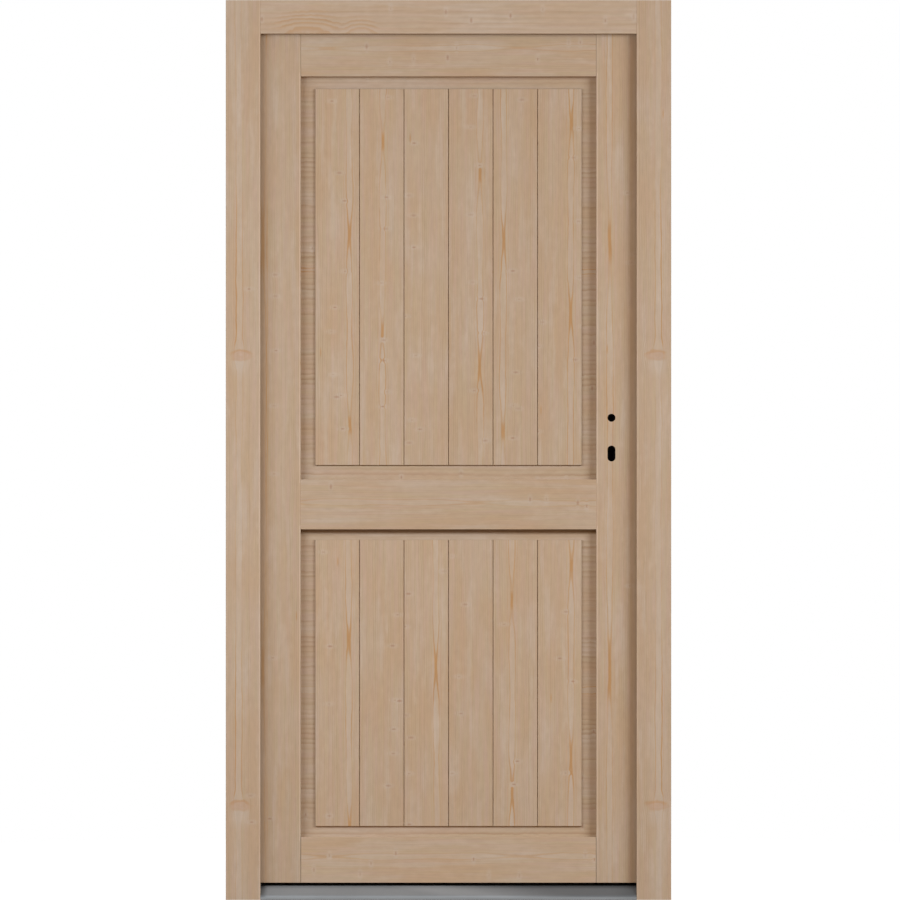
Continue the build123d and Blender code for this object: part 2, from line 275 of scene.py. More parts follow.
pinLook = {
    "scale": 10.0, "squeeze": 2.2,  # the cells that may hold a pin knot
    "smallest": 0.6, "core": (0.004, 0.062), "faintest": 0.3,
    "halo": (0.05, 0.19), "swell": 0.3,
}
knotLook = {  # reaches are in radii of the knot
    "ruffleScale": 70.0, "ruffleSqueeze": 0.6,
    "depth": (0.004, 0.03),  # the knot dives into the timber
    "swell": (0.5, 3.5), "stain": (1.8, 3.6),
    "arch": (0.8, 0.08, 0.45), "archTop": (-0.2, 0.5), "archFoot": 0.35,
    "eye": (0.2, 0.05, 0.4), "eyeShare": 0.4,
    "blot": (0.7, 1.1), "blotShare": 0.6,
    "tail": (0.8, 2.5), "tailEnd": (0.2, 0.5),  # resin lines over the knot, and how far up they end
    "dryTop": (-1.4, -0.7), "dryFoot": (-5.0, -1.6), "drySide": (0.4, 1.2), "dryShare": 0.6,
}


def markKnots(paint, wood):
    look, faintest = pinLook, pinLook["faintest"]
    at = paint.vector(wood.side, wood.run * look["squeeze"], 0.0)
    spot, (picked, size, shade) = paint.cells(at, look["scale"])
    picked = picked > wood.pins
    core = paint.fall(spot / (look["smallest"] + size), *look["core"])
    wood.core = core * picked * (faintest + (1 - faintest) * shade)
    wood.halo = paint.fall(spot, *look["halo"]) * picked
    wood.swell = wood.halo * look["swell"]
    wood.resin = wood.stain = wood.blot = wood.whorl = wood.bleach = 0.0
    if not wood.knots:
        return

    look, foot = knotLook, knotLook["archFoot"]
    at = paint.vector(wood.along, wood.across * look["ruffleSqueeze"], wood.luck)
    ruffle = paint.sway(at, look["ruffleScale"])
    shallow = paint.fall(wood.deep, *look["depth"])
    for knot in wood.knots:
        du = (wood.along - knot["along"]) / knot["long"]
        dv = (wood.across - knot["across"]) / knot["wide"]
        reach = paint.root(du * du + dv * dv) + ruffle * knot["ruffle"]
        wood.swell = wood.swell + paint.fall(reach, *look["swell"]) * knot["swell"]
        wood.stain = wood.stain + paint.fall(reach, *look["stain"]) * knot["stain"]
        if not knot["arch"]:
            continue
        arch = foot + (1 - foot) * paint.rise(du, *look["archTop"])
        arch = arch * paint.band(reach, *look["arch"])
        arch = arch + paint.band(reach, *look["eye"]) * look["eyeShare"]
        wood.whorl = wood.whorl + arch * shallow * knot["arch"]
        wood.blot = wood.blot + paint.fall(reach, *look["blot"]) * shallow * look["blotShare"]
        tailEnd = [knot["along"] + above for above in look["tailEnd"]]
        wood.resin = wood.resin + paint.rise(du, *look["tail"]) * paint.fall(wood.along, *tailEnd)
        dry = paint.fall(du, *look["dryTop"]) * paint.rise(du, *look["dryFoot"])
        dry = dry * paint.fall(paint.gap(dv, 0.0), *look["drySide"])  # pale wood under the knot
        wood.bleach = wood.bleach + dry * look["dryShare"]


pithLook = {  # each noise, and how far it moves the pith aside or the rings out
    "strayScale": 1.1, "strayApart": 9.0, "strayShift": 4.0,
    "waveScale": 26.0, "waveStretch": 0.16, "waveAside": 0.004, "waveOut": 0.0016,
    "wobbleScale": 11.0, "wobbleSqueeze": 4.0, "wobbleAside": 0.005,
    "crinkleScale": 38.0, "crinkleSqueeze": 2.0, "crinkleAside": 0.0026,
    "knotOut": 0.006,
    "late": (0.2, 0.85), "lateEnd": (0.85, 1.0),  # where in a ring the late wood comes and ends
    "seedStep": 3.0,
}


def growRings(paint, wood):  # the pith runs just behind the face and dips every so often
    look, run, side = pithLook, wood.run, wood.side
    at = paint.vector(run, wood.luck * look["strayApart"] + look["strayShift"], 0.0)
    stray = paint.sway(at, look["strayScale"], 1.0)
    at = paint.vector(side, wood.deep, run * look["waveStretch"])
    wave = paint.sway(at, look["waveScale"]) * wood.wild
    at = paint.vector(run * wood.curl, side * look["wobbleSqueeze"], wood.luck)
    wood.wobble = paint.sway(at, look["wobbleScale"])
    at = paint.vector(run * wood.curl, side * look["crinkleSqueeze"], wood.luck)
    crinkle = paint.sway(at, look["crinkleScale"])

    wood.cycle = paint.math("COSINE", (wood.along - wood.neck) * (2 * math.pi / wood.every))
    toPith = wood.face - wood.heart + stray * wood.drift + wave * look["waveAside"]
    wood.toPith = toPith + wood.wobble * look["wobbleAside"] + crinkle * look["crinkleAside"]
    behind = wood.deep - amberRing * (wood.sink + wood.swing * wood.cycle)
    radius = paint.root(wood.toPith * wood.toPith + behind * behind)
    wood.radius = radius + wave * look["waveOut"] + wood.swell * look["knotOut"]
    turn = wood.radius / wood.rings
    phase = paint.fract(turn)
    wood.ring = paint.rise(phase, *look["late"]) * paint.fall(phase, *look["lateEnd"])
    wood.ringChance = paint.chance(paint.floor(turn) + wood.seed * look["seedStep"])[0]


resinLook = {
    "gateScale": 5.0, "gateSqueeze": 0.4, "gateShift": 8.0,
    "gate": (0.38, 0.58),  # the lines come and go
    "neck": (0.93, 1.0), "thinnest": 0.3,  # but are full where they meet
    "line": (0.0002, 0.0010),
    "outerRing": 1.7, "outerLine": (0.0001, 0.0009), "outerShare": 0.35,
    "leanShare": 0.4, "leanWidth": 0.001,
    "pocketScale": 9.0, "pocketStretch": 0.16, "pocketShift": 2.0,
    "pocketless": 0.6, "pocket": (0.004, 0.022), "pocketShare": 0.7,
}


def bleedResin(paint, wood):
    look = resinLook
    at = paint.vector(wood.run, wood.side * look["gateSqueeze"], look["gateShift"])
    wood.gate = paint.noise(at, look["gateScale"], 1.0)
    amber = paint.band(wood.radius, amberRing, *(width * wood.bold for width in look["line"]))
    outer = paint.band(wood.radius, amberRing * look["outerRing"], *look["outerLine"])
    amber = amber + outer * look["outerShare"]
    filled = paint.most(paint.rise(wood.gate, *look["gate"]), paint.rise(wood.cycle, *look["neck"]))
    filled = (look["thinnest"] + filled * (1 - look["thinnest"])) * wood.streak
    amber = amber * paint.most(filled, wood.resin)
    if wood.lean:  # one of the two lines holds less resin
        weaker = paint.rise(wood.toPith * wood.lean, -look["leanWidth"], look["leanWidth"])
        amber = amber * (1 - look["leanShare"] * weaker)
    at = paint.vector(wood.side + look["pocketShift"], wood.run * look["pocketStretch"], 0.0)
    pocket, odds = paint.cells(at, look["pocketScale"])
    pocket = paint.fall(pocket, *look["pocket"]) * (odds[0] > look["pocketless"])
    amber = amber + pocket * look["pocketShare"] + wood.whorl + wood.stain * wood.ring
    return paint.least(amber, 1.0)


grainBands = {  # shift across the log, stretch along the grain, scale and detail of each noise
    "fine": (0.0, 0.035, 330.0, 2.0),
    "fleck": (0.0, 0.22, 190.0, 2.0),
    "blush": (0.0, 0.05, 120.0, 2.0),
    "straw": (5.0, 0.05, 95.0, 2.0),
    "pale": (9.0, 0.1, 48.0, 2.0),
    "cloud": (3.0, 0.5, 75.0, 3.0),
    "warm": (7.0, 0.22, 19.0, 2.0),
}
colourLook = {  # where each colour comes in, and the share of it that is laid on
    "blush": (0.45, 0.62), "blushShare": 0.5,
    "straw": (0.46, 0.62), "strawShare": 0.52,
    "warm": (0.44, 0.68), "warmShare": 0.5,
    "pale": (0.48, 0.7), "paleShare": 0.5, "paleCloud": 0.22,
    "cool": (0.3, 0.5), "coolShare": 0.3,
    "pith": 0.7, "pithShare": 0.35,  # pale within the resin ring
    "haloShare": 0.4,
    "late": (0.008, 0.024), "lateShare": 0.42, "lateFaintest": 0.15,
    "lateStraw": (0.4, 0.62), "lateElsewhere": 0.45,
    "amberShare": 0.92, "knotShare": 0.72,
    "fineLevel": 0.17, "fleckLevel": 0.12, "cloudLevel": 0.12,
    "darkest": 0.985, "darkToLight": 0.03,  # lightness from piece to piece
}


def grainNoise(paint, wood, name, finer=1.0):
    shift, stretch, scale, detail = grainBands[name]
    at = paint.vector(wood.side + shift, wood.deep, wood.run * stretch)
    return paint.noise(at, scale * finer, detail)


def layColour(paint, wood):
    look, colours = colourLook, spruceColours
    wood.fine = grainNoise(paint, wood, "fine") - 0.5
    fleck = grainNoise(paint, wood, "fleck") - 0.5
    cloud = grainNoise(paint, wood, "cloud") - 0.5
    warm = grainNoise(paint, wood, "warm")
    blush = grainNoise(paint, wood, "blush", wood.broad)
    straw = grainNoise(paint, wood, "straw", wood.broad)
    pale = grainNoise(paint, wood, "pale", wood.broad)

    faintest, elsewhere = look["lateFaintest"], look["lateElsewhere"]
    late = wood.ring * (faintest + (1 - faintest) * wood.ringChance)
    late = late * paint.rise(wood.radius, *look["late"])
    wood.late = late * (elsewhere + (1 - elsewhere) * paint.rise(straw, *look["lateStraw"]))
    grey = paint.rise(pale + cloud * look["paleCloud"], *look["pale"]) * look["paleShare"]
    grey = grey + paint.fall(warm, *look["cool"]) * look["coolShare"]
    grey = grey + paint.fall(wood.radius, amberRing * look["pith"], amberRing) * look["pithShare"]
    grey = grey + wood.halo * look["haloShare"] + wood.blanch + wood.bleach

    layers = ((blush, "blush", "pink"), (straw, "straw", "straw"), (warm, "warm", "honey"))
    colour = colours["tan"]
    for noise, name, tint in layers:
        share = paint.rise(noise, *look[name]) * look[name + "Share"]
        colour = paint.mix(share, colour, colours[tint])
    colour = paint.mix(paint.least(grey, 1.0), colour, colours["grey"])
    colour = paint.mix(wood.blot, colour, colours["pink"])
    colour = paint.mix(wood.late * (look["lateShare"] * wood.depth), colour, colours["late"])
    colour = paint.mix(bleedResin(paint, wood) * look["amberShare"], colour, colours["amber"])
    colour = paint.mix(wood.core * look["knotShare"], colour, colours["knot"])
    level = 1 + wood.fine * look["fineLevel"] + fleck * look["fleckLevel"]
    level = level + cloud * look["cloudLevel"]
    return colour, level * (look["darkest"] + look["darkToLight"] * wood.luck) * wood.tone


edgeLook = {
    "face": (0.0006, 0.001),  # depth at which the face ends
    "inset": 0.0018, "width": (0.0004, 0.0015), "greyShare": 2,  # the painted highlight line, where the edge would catch the light
    "fade": 0.004, "heldShare": 0.3,  # weaker where the edge doesn't stand free
    "corner": (0.0003, 0.001), "cornerShade": 0.4,
    "shadowTint": (0.068, 0.078), "shadowTintShare": 0.45,  # painted warm tint in the frame's shadow beside the jamb
    "vein": (0.0006, 0.0018), "veinSway": 0.006, "veinGate": (0.4, 0.6), "veinShare": 0.6,
}


def easeEdge(paint, wood, colour, level):  # painted highlight on the edge, most where it stands free
    look, held = edgeLook, edgeLook["heldShare"]
    inset = paint.gap(wood.x, wood.edge)
    onFace = paint.fall(wood.deep, *look["face"])
    onEdge = paint.band(inset, look["inset"], *look["width"]) * onFace
    if wood.free:
        spans = [(middle, half - look["fade"], half) for middle, half in wood.free]
        stands = sum(paint.band(wood.z, *limits) for limits in spans)
        # painted shade on the very corner of the edge where it stands free
        corner = paint.fall(inset, *look["corner"]) * onFace
        level = level * (1 - look["cornerShade"] * corner * stands)
        onEdge = onEdge * (held + (1 - held) * stands)
        # painted warm tint, and on the hinge stile a painted lift, in the frame's shadow beside the
        # jamb
        shadowTint = paint.rise(inset, *look["shadowTint"]) * onFace
        colour = paint.mix(shadowTint * look["shadowTintShare"], colour, spruceColours["honey"])
        level = level * (1 + wood.lift * shadowTint)
    if wood.vein:  # one long resin line, broken here and there
        line = paint.band(inset + wood.wobble * look["veinSway"], wood.vein, *look["vein"])
        line = line * paint.rise(wood.gate, *look["veinGate"])
        colour = paint.mix(line * look["veinShare"], colour, spruceColours["amber"])
    # painted highlight: the edge line made lighter and greyer
    colour = paint.mix(onEdge * (wood.gleam * look["greyShare"]), colour, spruceColours["grey"])
    return colour, level * (1 + wood.gleam * onEdge)


boardLook = {
    "gap": 0.0012, "count": 6, "pins": 0.62,
    "endInset": 0.0007, "endFade": 0.0004,  # painted shade along the board ends
    # painted warm shade on the board sides in the grooves
    "eased": (0.0001, 0.0006), "easedShare": 0.8,
}


def shadeBoards(paint, wood, colour, level):
    half = wood.boards["half"]
    # painted shade along the board ends
    endShadow = paint.rise(paint.gap(wood.z, wood.boards["middle"]), half, half + boardLook["endFade"])
    # painted warm shade on the board sides in the grooves between boards
    eased = paint.rise(wood.deep, *boardLook["eased"]) * boardLook["easedShare"]
    colour = paint.mix(eased, colour, spruceColours["honey"])
    return colour, level * (1 - wood.boards["ends"] * endShadow)


lockHoles = {"x": 0.849, "radius": 0.00875, "spindle": 1.061,
             "cylinder": 0.991, "cylinderFoot": 0.9735}
cornerLook = {
    "rim": (0.0003, 0.0012), "rimFade": 0.0005, "rimShade": 0.3,
    "dustHeight": 0.014, "dustShade": 0.45,
    "seamInner": 0.001, "seamOuter": 0.0003,
    "boreInner": 0.0001, "boreOuter": 0.0004, "boreDepth": (0.0002, 0.001), "boreShade": 0.985,
}


def shadeCorners(paint, wood, level):
    look = cornerLook
    if wood.rim:  # painted shade on both sides of a raised field
        (across, halfWidth), (height, halfHeight) = wood.rim
        onRim = paint.band(paint.gap(wood.x, across), halfWidth, *look["rim"])
        beside = paint.band(wood.z, height, halfHeight - look["rimFade"], halfHeight)
        level = level * (1 - look["rimShade"] * onRim * beside)
    if wood.under is not None:  # painted shade in the corner under a rail
        dust = paint.rise(wood.z, wood.under - look["dustHeight"], wood.under)
        level = level * (1 - look["dustShade"] * dust)
    if wood.seam:  # the joint at both ends of a rail
        middle, half = wood.seams
        inset = paint.gap(wood.x, middle)
        onSeam = paint.rise(inset, half - look["seamInner"], half - look["seamOuter"])
        level = level * (1 - wood.seam * onSeam)
    for low, high in wood.bores:  # painted shade on the walls of a bored hole
        dx = wood.x - lockHoles["x"]
        dz = wood.z - paint.least(paint.most(wood.z, low), high)
        limits = (lockHoles["radius"] + look["boreInner"], lockHoles["radius"] + look["boreOuter"])
        inBore = paint.fall(paint.root(dx * dx + dz * dz), *limits)
        level = level * (1 - look["boreShade"] * inBore * paint.rise(wood.deep, *look["boreDepth"]))
    return level


planedLook = {"roughness": 0.62, "lateRoughness": 0.06, "fineRoughness": 0.1, "shine": 0.3,
              "bump": 0.1, "relief": 0.0005}


def spruce(name, **own):
    wood = SimpleNamespace(**{**plainTimber, **own})
    paint = Paint(name)
    look = planedLook
    cutFromLog(paint, wood)
    markKnots(paint, wood)
    growRings(paint, wood)
    colour, level = layColour(paint, wood)
    if wood.edge is not None:
        colour, level = easeEdge(paint, wood, colour, level)
    if wood.boards:
        colour, level = shadeBoards(paint, wood, colour, level)
    level = shadeCorners(paint, wood, level)
    roughness = look["roughness"] + wood.late * look["lateRoughness"]
    return paint.surface({
        "Base Color": paint.shaded(colour, level),
        "Roughness": roughness + wood.fine * look["fineRoughness"],
        "Specular IOR Level": look["shine"],
        "Normal": paint.bump(wood.fine, look["bump"], look["relief"]),
    })


# anodised aluminium, drawn along its length, with painted shade and a painted highlight on its
# tread
aluminiumLook = {
    "colour": srgb(138, 139, 140), "metallic": 0.75, "roughness": 0.42,
    "lines": 900.0, "lineStretch": 0.01, "lineLevel": 0.16, "lineRoughness": 0.1,
    "clouds": 9.0, "cloudLevel": 0.16, "cloudRoughness": 0.06,
    "bump": 0.08, "relief": 0.0002,
}
paintedLightLook = {  # places on the threshold, in metres, of painted shade and a painted highlight, and how much darker or lighter they are
    "tread": (0.004, 0.008),  # over the nose
    "slant": 5.6, "paintedShade": (0.64, 0.84), "paintedShadeSway": 0.04, "paintedShadeDepth": 0.42,
    "bright": (0.6, 0.02, 0.1), "brightShare": 0.16,
    "leftEnd": (0.079, 0.094), "leftShade": 0.46,
    "underLeaf": (0.0225, 0.0295), "underShade": 0.3,
    "crease": (0.0093, 0.001, 0.003), "creaseShade": 0.1,
    "floor": (0.0008, 0.0028), "floorShade": 0.35,
    "rightEnd": (0.85, 0.9), "rightShade": 0.14,
}


def aluminium():
    look, shading = aluminiumLook, paintedLightLook
    paint = Paint("thresholdAluminium")
    x, y, z = paint.place()
    drawn = paint.sway(paint.vector(x * look["lineStretch"], y, z), look["lines"])
    cloud = paint.sway(paint.vector(x, y, z), look["clouds"])
    slant = x + z * shading["slant"]  # painted shadow across the tread in a slanted band
    paintedShade = paint.rise(slant + cloud * shading["paintedShadeSway"], *shading["paintedShade"]) * shading["paintedShadeDepth"]
    # painted shade at the left end, by the jamb, and under the leaf
    paintedShade = paintedShade + paint.fall(x, *shading["leftEnd"]) * shading["leftShade"]
    paintedShade = paintedShade + paint.rise(z, *shading["underLeaf"]) * shading["underShade"]
    # painted highlight: a lighter slanted band beside the painted shadow
    bright = paint.band(slant, *shading["bright"]) * shading["brightShare"]
    # painted shade in the crease over the nose, along the floor and towards the right end
    extraShade = paint.band(z, *shading["crease"]) * shading["creaseShade"]
    extraShade = extraShade + paint.fall(z, *shading["floor"]) * shading["floorShade"]
    extraShade = extraShade + paint.rise(x, *shading["rightEnd"]) * shading["rightShade"]
    level = 1 + drawn * look["lineLevel"] + cloud * look["cloudLevel"]
    level = level * (1 + (bright - paintedShade) * paint.rise(z, *shading["tread"])) * (1 - extraShade)
    roughness = look["roughness"] + drawn * look["lineRoughness"]
    return paint.surface({
        "Base Color": paint.shaded(look["colour"], level),
        "Metallic": look["metallic"],
        "Roughness": roughness + cloud * look["cloudRoughness"],
        "Normal": paint.bump(drawn, look["bump"], look["relief"]),
    })


# zinc-plated steel, with clouds in the plating
steelLook = {
    "bright": srgb(196, 196, 192), "dull": srgb(160, 160, 158),
    "clouds": 60.0, "cloudDetail": 3.0, "cloudDull": (0.35, 0.7), "cloudRoughness": 0.1,
    "grain": 1400.0, "grainStretch": 0.05, "grainRoughness": 0.12,
    "bump": 0.05, "relief": 0.0001,
}
steelRoughness = {"hingeSteel": 0.3, "lockSteel": 0.34, "screwSteel": 0.26}


def zincSteel(name):
    look = steelLook
    paint = Paint(name)
    x, y, z = paint.place()
    cloud = paint.noise(paint.vector(x, y, z), look["clouds"], look["cloudDetail"])
    grain = paint.sway(paint.vector(x, y, z * look["grainStretch"]), look["grain"])
    colour = paint.mix(paint.rise(cloud, *look["cloudDull"]), look["bright"], look["dull"])
    roughness = steelRoughness[name] + grain * look["grainRoughness"]
    return paint.surface({
        "Base Color": colour,
        "Metallic": 1.0,
        "Roughness": roughness + (cloud - 0.5) * look["cloudRoughness"],
        "Normal": paint.bump(grain, look["bump"], look["relief"]),
    })


# dark and matt finishes, with a little dust
darkFinishes = {  # dust is its scale, spread how much it lightens and darkens
    "thresholdPlastic": {"colour": srgb(58, 56, 54), "roughness": 0.6,
                         "dust": 300.0, "spread": 0.1, "shine": 0.3},
    "sealRubber": {"colour": srgb(40, 37, 35), "roughness": 0.7,
                   "dust": 500.0, "spread": 0.3, "shine": 0.3},
    "lockCaseBlack": {"colour": srgb(10, 10, 10), "roughness": 0.75,
                      "dust": 200.0, "spread": 0.3, "shine": 0.1},
    # near-black painted shade for the lock's two holes
    "holeShadeBlack": {"colour": srgb(4, 4, 4), "roughness": 0.8,
                      "dust": 400.0, "spread": 0.3, "shine": 0.05},
    # painted shade for the screws' cross recesses
    "screwRecessShade": {"colour": srgb(30, 30, 30), "roughness": 0.6,
                    "dust": 400.0, "spread": 0.3, "shine": 0.3},
}
dustLook = {"detail": 3.0, "roughness": 0.15, "bump": 0.06, "relief": 0.0003}


def darkMatt(name):
    look = darkFinishes[name]
    paint = Paint(name)
    dust = paint.sway(paint.vector(*paint.place()), look["dust"], dustLook["detail"])
    return paint.surface({
        "Base Color": paint.shaded(look["colour"], 1 + dust * look["spread"]),
        "Roughness": look["roughness"] + dust * dustLook["roughness"],
        "Specular IOR Level": look["shine"],
        "Normal": paint.bump(dust, dustLook["bump"], dustLook["relief"]),
    })


def dress(node, material):
    mesh = nodes[node].data
    mesh.materials.clear()
    mesh.materials.append(material)


# the timbers, each cut from its own place
jambKnot = {"long": 0.012, "wide": 0.022, "swell": -0.8, "arch": 0.55, "stain": 0.0, "ruffle": 1.4}
jambKnotHeights = (1.2, 0.208)
headSwirls = [
    {"along": 0.182, "across": 1.925, "long": 0.026, "wide": 0.011,
     "swell": -3.0, "arch": 0.0, "stain": 0.5, "ruffle": 1.2},
    {"along": 0.297, "across": 1.916, "long": 0.014, "wide": 0.01,
     "swell": -2.6, "arch": 0.0, "stain": 0.4, "ruffle": 1.2},
]
lockBores = [
    (lockHoles["spindle"], lockHoles["spindle"]),
    (lockHoles["cylinderFoot"], lockHoles["cylinder"]),
]


def jambKnots(across):
    return [{**jambKnot, "along": height, "across": across} for height in jambKnotHeights]


jambWood = {"grain": "upright", "sink": 0.1, "swing": 0.25, "drift": 0.008,
            "bold": 1.7, "streak": 0.3, "pins": 0.9}
stileWood = {"grain": "upright", "neck": 1.448, "every": 0.937, "pins": 0.8}
railWood = {"grain": "level", "streak": 0.4, "depth": 0.6, "pins": 0.42}
panelWood = {"grain": "level", "wild": 3.0, "curl": 4.0, "rings": 0.011,
             "broad": 0.4, "depth": 1.7}
timbers = {
    "hinge_jamb": {**jambWood, "seed": 11, "heart": -0.0095, "lean": 1, "gleam": 0.17,
                   "blanch": 0.1, "tone": 0.965, "knots": jambKnots(0.032)},
    "lock_jamb": {**jambWood, "seed": 23, "heart": 0.0095, "lean": -1, "gleam": 0.08,
                  "blanch": 0.12, "tone": 0.975, "knots": jambKnots(0.948)},
    "frame_head": {"grain": "level", "seed": 37, "heart": -0.09, "wild": 3.0, "rings": 0.013,
                   "blanch": 0.33, "knots": headSwirls},
    "hinge_stile": {**stileWood, "seed": 41, "heart": -0.026, "lift": 0.09, "vein": 0.0744,
                    "tone": 0.975},
    "lock_stile": {**stileWood, "seed": 53, "heart": -0.028, "bores": lockBores},
    # the rails are painted lighter downwards, to make up for the lamps' fall-off towards the bottom
    "top_rail": {**railWood, "seed": 61, "tone": 0.96, "seam": 0.4},
    "middle_rail": {**railWood, "seed": 71, "tone": 0.98, "seam": -0.2},
    "bottom_rail": {**railWood, "seed": 83, "tone": 1.05, "seam": 0.92},
    "upper_panel": {**panelWood, "seed": 97, "tone": 0.97, "blanch": 0.06},
    "lower_panel": {**panelWood, "seed": 101, "tone": 0.98, "blanch": 0.08},
}


def rimOf(low, high):
    return (span(low.x, high.x), span(low.z, high.z))


panelLeft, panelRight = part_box("hinge_stile")[1].x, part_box("lock_stile")[0].x
for node, look in timbers.items():
    low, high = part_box(node)
    if look["grain"] == "upright":
        look["middle"] = (low.x + high.x) / 2
        look["edge"] = high.x if node.startswith("hinge") else low.x
    else:
        look["middle"] = (low.z + high.z) / 2
    if node.endswith("stile"):
        look["free"] = [span(a.z, b.z) for a, b in map(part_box, ("upper_panel", "lower_panel"))]
    if node.endswith("rail"):
        look["seams"] = span(panelLeft, panelRight)
    if node.endswith("panel"):
        fieldLow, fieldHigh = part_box(node.replace("panel", "boards_outside"))
        look["rim"] = rimOf(fieldLow, fieldHigh)
    if node == "lower_panel":
        look["under"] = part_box("middle_rail")[0].z
    dress(node, spruce(node + "Spruce", front=low.y, **look))

# the fields of boards: where the pith lies in each, and the height at which its two lines meet
boardFields = {
    "upper_boards_outside": {"seed": 131, "tone": 0.98, "ends": 0.6,
                             "hearts": [0.026, 0.0026, 0.2, 0.022, -0.025, 0.024],
                             "necks": [1.465, 1.67, 0.0, 1.599, 1.452, 1.709]},
    # painted lighter than the upper field, to make up for the lamps' fall-off towards the bottom
    "lower_boards_outside": {"seed": 151, "tone": 1.015, "ends": 0.2,
                             "hearts": [0.026, 0.2, 0.022, 0.2, -0.007, 0.024],
                             "necks": [0.572, 0.0, 0.51, 0.0, 0.238, 0.735]},
    "upper_boards_inside": {"seed": 171, "tone": 1.0, "ends": 0.4},
    "lower_boards_inside": {"seed": 191, "tone": 1.0, "ends": 0.4},
}
for node, look in boardFields.items():
    low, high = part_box(node)
    middle, half = span(low.z, high.z)
    field = {**look, "middle": middle, "half": half - boardLook["endInset"],
             "left": low.x - boardLook["gap"] / 2,
             "pitch": (high.x - low.x + boardLook["gap"]) / boardLook["count"]}
    front, inward = (low.y, 1) if node.endswith("outside") else (high.y, -1)  # the shown face
    material = spruce(
        node + "Spruce", grain="upright", seed=look["seed"], front=front, inward=inward,
        boards=field, pins=boardLook["pins"], tone=look["tone"], rim=rimOf(low, high),
    )
    dress(node, material)
print("timbers dressed:", len(timbers) + len(boardFields))

dress("threshold_cover", aluminium())
dress("threshold_base", darkMatt("thresholdPlastic"))
rubber = darkMatt("sealRubber")
for node in ("threshold_seal", "hinge_jamb_seal", "lock_jamb_seal", "frame_head_seal"):
    dress(node, rubber)
hingeSteel = zincSteel("hingeSteel")
for level in ("lower", "middle", "upper"):
    dress(level + "_hinge_frame_part", hingeSteel)
    dress(level + "_hinge_leaf_part", hingeSteel)
lockSteel = zincSteel("lockSteel")
for node in ("lock_faceplate", "strike_plate", "latch", "dead_bolt"):
    dress(node, lockSteel)
dress("lock_case", darkMatt("lockCaseBlack"))
print("metal, rubber and plastic dressed")


# small pieces of the lock: near-black sheets of painted shade behind its two holes, and the screws
# of its plates, their cross recesses painted as dark shade
def slab(name, outline, step, material, body):  # a flat outline, drawn out by one step
    points = [Vector(point) for point in outline]
    count = len(points)
    mesh = bpy.data.meshes.new(name)
    faces = [tuple(range(count)), tuple(reversed(range(count, 2 * count)))]
    for place in range(count):
        after = (place + 1) % count
        faces.append((after, place, count + place, count + after))
    mesh.from_pydata(points + [point + Vector(step) for point in points], [], faces)
    mesh.materials.append(material)
    piece = bpy.data.objects.new(name, mesh)
    bpy.context.scene.collection.objects.link(piece)
    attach(piece, body)


def arc(across, up, radius, start, sweep, steps):  # angles in degrees
    angles = [math.radians(start + sweep * step / steps) for step in range(steps + 1)]
    return [(across + radius * math.cos(a), up + radius * math.sin(a)) for a in angles]


holeShadeLook = {
    "y": 0.0125, "depth": 0.002,
    "square": 0.0042,  # half its side
    "round": 0.009, "roundArc": (-52, 284, 24),  # of the keyhole, over its foot
    "foot": 0.0055, "footArc": (180, 180, 12), "footDrop": 0.02,
}


def buildHoleShades():
    dark = darkMatt("holeShadeBlack")
    x, half, level = lockHoles["x"], holeShadeLook["square"], lockHoles["spindle"]
    square = [(x + sx * half, level + sz * half) for sx, sz in ((-1, -1), (1, -1), (1, 1), (-1, 1))]
    level = lockHoles["cylinder"]
    keyhole = arc(x, level, holeShadeLook["round"], *holeShadeLook["roundArc"])
    level = level - holeShadeLook["footDrop"]
    keyhole = keyhole + arc(x, level, holeShadeLook["foot"], *holeShadeLook["footArc"])
    for name, outline in (("spindleHoleShade", square), ("cylinderHoleShade", keyhole)):
        outline = [(px, holeShadeLook["y"], pz) for px, pz in outline]
        slab(name, outline, (0, holeShadeLook["depth"], 0), dark, "leaf")


screwLook = {
    "inset": 0.012, "radius": 0.0039, "ringArc": (0, 345, 23), "rise": 0.0004,
    "arm": 0.0021, "half": 0.00045, "crossRise": 1.2,  # the dark cross of painted shade, a little prouder
}


def buildScrews():
    head = zincSteel("screwSteel")
    recessShade = darkMatt("screwRecessShade")
    arm, half = screwLook["arm"], screwLook["half"]
    cross = [(arm, half), (half, half), (half, arm), (-half, arm), (-half, half), (-arm, half)]
    cross = cross + [(-py, -pz) for py, pz in cross]
    for plate, body, way in (("lock_faceplate", "leaf", 1), ("strike_plate", "frame", -1)):
        low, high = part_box(plate)
        face = high.x if way > 0 else low.x
        middle = (low.y + high.y) / 2
        rise = way * screwLook["rise"]
        levels = {"Low": low.z + screwLook["inset"], "High": high.z - screwLook["inset"]}
        for place, level in levels.items():
            ring = arc(middle, level, screwLook["radius"], *screwLook["ringArc"])
            ring = [(face, py, pz) for py, pz in ring]
            slab(plate + "Screw" + place, ring, (rise, 0, 0), head, body)
            # the cross recess, as a dark cross of painted shade
            slot = [(face, middle + py, level + pz) for py, pz in cross]
            slab(plate + "Cross" + place, slot, (rise * screwLook["crossRise"], 0, 0), recessShade, body)


buildHoleShades()
buildScrews()
print("lock works and screws built")


# stage: a pale floor that blends into the white background and keeps the shadow
floorLook = {"radius": 2.6, "sides": 96, "drop": 0.0005, "colour": (0.9, 0.9, 0.9),
             "bounce": (0.3, 0.2, 0.12), "share": 0.9, "glow": 1.05}
white = (1.0, 1.0, 1.0)


def seenShare(paint):  # 1 for rays that show the background, 0 for those that light the object
    wire = paint.add("ShaderNodeLightPath")
    outs = wire.socket.node.outputs
    seen = Wire(paint, outs["Is Camera Ray"]) + Wire(paint, outs["Is Glossy Ray"])
    return paint.least(seen + Wire(paint, outs["Is Transmission Ray"]), 1.0)


